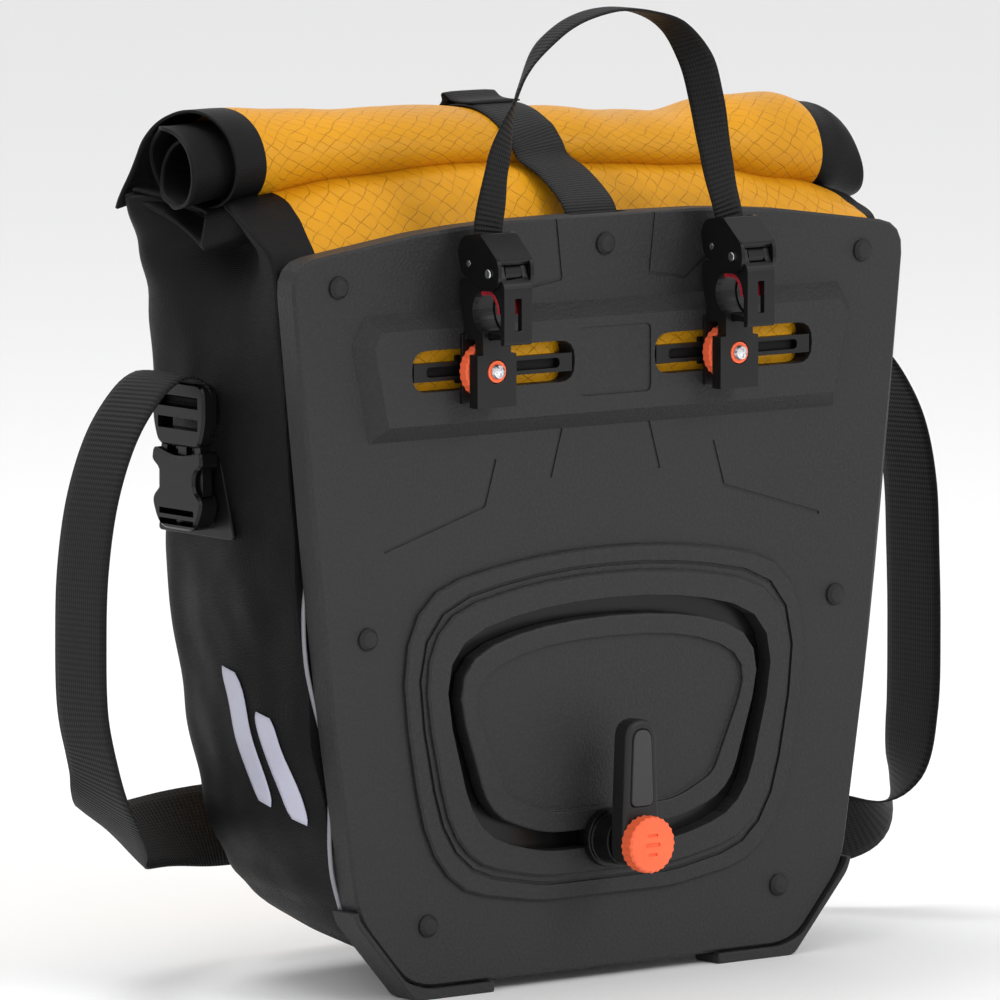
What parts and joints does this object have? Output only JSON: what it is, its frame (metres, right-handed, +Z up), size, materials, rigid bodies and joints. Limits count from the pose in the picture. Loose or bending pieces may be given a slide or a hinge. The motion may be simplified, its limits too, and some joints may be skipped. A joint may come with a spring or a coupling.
{
  "type": "pannier bag",
  "caption": "Roll-top bicycle pannier bag with a moulded back plate, clamp-on hooks on sliding rails, a lower anchor arm in a looped track and a clip-on shoulder strap.",
  "frame": {"origin": "middle of the bag's flat underside, on the floor plane", "axes": "+Z up; X across the back plate; -Y out of the back plate, towards the bicycle rack"},
  "size_m": [0.4722, 0.2, 0.4278],
  "materials": {
    "charcoal": "fine-grained moulded plastic",
    "gloss_black": "polished black plastic",
    "satin_black": "satin black plastic",
    "webbing": "woven polyester webbing",
    "black_fabric": "coated polyester, fine weave",
    "amber_fabric": "coated polyester, embossed lattice",
    "orange": "satin orange plastic",
    "red": "translucent-looking red plastic",
    "steel": "bright zinc plated",
    "reflective": "retroreflective film",
    "rubber": "soft grip"
  },
  "bodies": {
    "bag": {"back_plate": "charcoal", "track_rail": "gloss_black", "track_island": "charcoal", "rivet_1": "satin_black", "rivet_2": "satin_black", "rivet_3": "satin_black", "rivet_4": "satin_black", "rivet_5": "satin_black", "rivet_6": "satin_black", "rivet_7": "satin_black", "rail_left": "satin_black", "corner_guard_left": "charcoal", "piping_left": "reflective", "emblem_left": "reflective", "strap_patch_left": "satin_black", "buckle_socket_left": "satin_black", "rail_right": "satin_black", "corner_guard_right": "charcoal", "piping_right": "reflective", "emblem_right": "reflective", "strap_patch_right": "satin_black", "buckle_socket_right": "satin_black", "bag_body": "black_fabric", "roll_top": "amber_fabric", "closing_strap": "webbing", "strap_tab": "webbing", "closure_housing": "satin_black", "closure_tongue": "satin_black", "lower_webbing": "webbing"},
    "hook_left": {"hook_body_left": "gloss_black", "tube_insert_left": "red", "clamp_screw_left": "steel", "clamp_jaw_left": "satin_black"},
    "lever_left": {"hook_lever_left": "gloss_black", "hook_claw_left": "satin_black", "pivot_pin_left": "steel", "strap_bar_left": "steel"},
    "wheel_left": {"thumb_wheel_left": "orange"},
    "hook_right": {"hook_body_right": "gloss_black", "tube_insert_right": "red", "clamp_screw_right": "steel", "clamp_jaw_right": "satin_black"},
    "lever_right": {"hook_lever_right": "gloss_black", "hook_claw_right": "satin_black", "pivot_pin_right": "steel", "strap_bar_right": "steel"},
    "wheel_right": {"thumb_wheel_right": "orange"},
    "handle": {"handle_strap": "webbing"},
    "anchor": {"anchor_carriage": "gloss_black", "anchor_screw": "steel"},
    "arm": {"anchor_arm": "satin_black", "anchor_grip": "rubber"},
    "knob": {"anchor_knob": "orange"},
    "strap": {"shoulder_strap": "webbing", "buckle_plug_left": "satin_black", "buckle_plug_right": "satin_black"}
  },
  "joints": [
    {"name": "hook_left_slide", "type": "slide", "parent": "bag", "child": "hook_left", "axis": [1, 0, 0], "range_m": [-0.015, 0.015]},
    {"name": "hook_right_slide", "type": "slide", "parent": "bag", "child": "hook_right", "axis": [1, 0, 0], "range_m": [-0.015, 0.015]},
    {"name": "wheel_left_turn", "type": "hinge", "parent": "hook_left", "child": "wheel_left", "pos_m": [-0.075, -0.072, 0.2725], "axis": [0, 1, 0], "continuous": true},
    {"name": "wheel_right_turn", "type": "hinge", "parent": "hook_right", "child": "wheel_right", "pos_m": [0.058, -0.072, 0.2725], "axis": [0, 1, 0], "continuous": true},
    {"name": "handle_lift", "type": "slide", "parent": "hook_left", "child": "handle", "axis": [0, -0.397, 0.9178], "range_m": [0, 0.00524], "stiffness_N_per_m": 400},
    {"name": "lever_left_open", "type": "hinge", "parent": "hook_left", "child": "lever_left", "pos_m": [-0.075, -0.0877, 0.3155], "axis": [1, 0, 0], "range_deg": [0, 20.1]},
    {"name": "lever_right_open", "type": "hinge", "parent": "hook_right", "child": "lever_right", "pos_m": [0.058, -0.0877, 0.3155], "axis": [1, 0, 0], "range_deg": [0, 20.1]},
    {"name": "anchor_slide", "type": "slide", "parent": "bag", "child": "anchor", "axis": [1, 0, 0], "range_m": [-0.012, 0.018]},
    {"name": "arm_turn", "type": "hinge", "parent": "anchor", "child": "arm", "pos_m": [-0.003, -0.085, 0.063], "axis": [0, 1, 0], "range_deg": [-100, 100]},
    {"name": "knob_turn", "type": "hinge", "parent": "anchor", "child": "knob", "pos_m": [-0.003, -0.094, 0.063], "axis": [0, 1, 0], "continuous": true},
    {"name": "strap_unclip", "type": "slide", "parent": "bag", "child": "strap", "axis": [0, 0, 1], "range_m": [0, 0.028]}
  ],
  "couplings": [
    {"joint": "hook_right_slide", "follows": "hook_left_slide", "ratio": 1},
    {"joint": "lever_left_open", "follows": "handle_lift", "rad_per_m": 66.515},
    {"joint": "lever_right_open", "follows": "handle_lift", "rad_per_m": 66.515}
  ]
}
